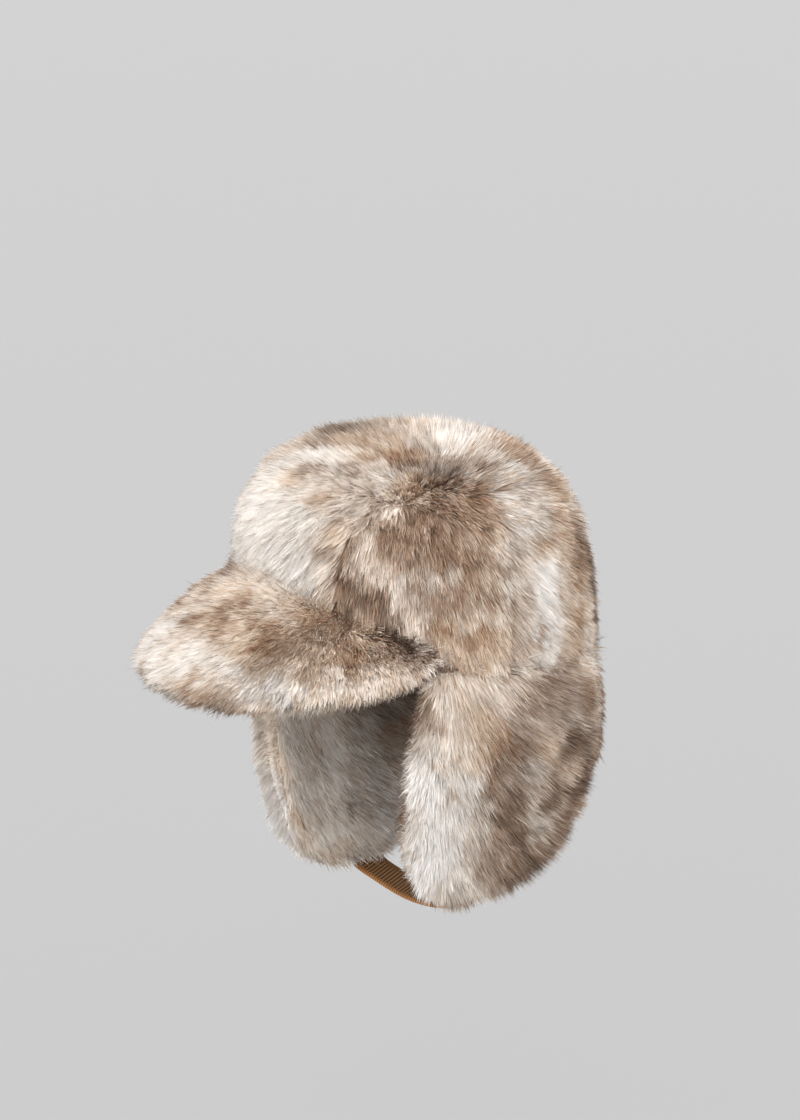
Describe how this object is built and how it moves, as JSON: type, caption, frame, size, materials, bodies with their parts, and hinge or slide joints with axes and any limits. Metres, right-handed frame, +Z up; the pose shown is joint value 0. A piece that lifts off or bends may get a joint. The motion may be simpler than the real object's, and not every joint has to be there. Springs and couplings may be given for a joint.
{
  "type": "aviator hat",
  "caption": "Deep-fur aviator hat with a gored crown, a curved peak, hanging ear flaps, a neck flap and a chin strap.",
  "frame": {"origin": "top of the hollow that the wearer's head fills, above the middle of the head", "axes": "+Z up through the crown, -Y out over the peak, +X to the wearer's left"},
  "size_m": [0.203, 0.3079, 0.3109],
  "materials": {
    "crown_fur": "deep mottled faux fur",
    "peak_fur": "deep mottled faux fur",
    "flap_fur": "deep mottled faux fur",
    "inner_fur": "deep mottled faux fur",
    "lining": "smooth brown satin twill",
    "strap": "ribbed brown grosgrain",
    "clasp": "satin"
  },
  "bodies": {
    "root": {"crown_lining": "lining", "crown_gore_front": "crown_fur", "crown_gore_left_front": "crown_fur", "crown_gore_left_back": "crown_fur", "crown_gore_back": "crown_fur", "crown_gore_right_back": "crown_fur", "crown_gore_right_front": "crown_fur", "ear_flap_left_wall": "lining", "ear_flap_left_fur": "flap_fur", "ear_flap_left_inner_fur": "inner_fur", "ear_flap_right_wall": "lining", "ear_flap_right_fur": "flap_fur", "ear_flap_right_inner_fur": "inner_fur", "neck_flap_wall": "lining", "neck_flap_fur": "flap_fur", "peak_board": "lining", "peak_fur": "peak_fur", "chin_strap": "strap", "strap_clasp": "clasp"}
  },
  "joints": []
}
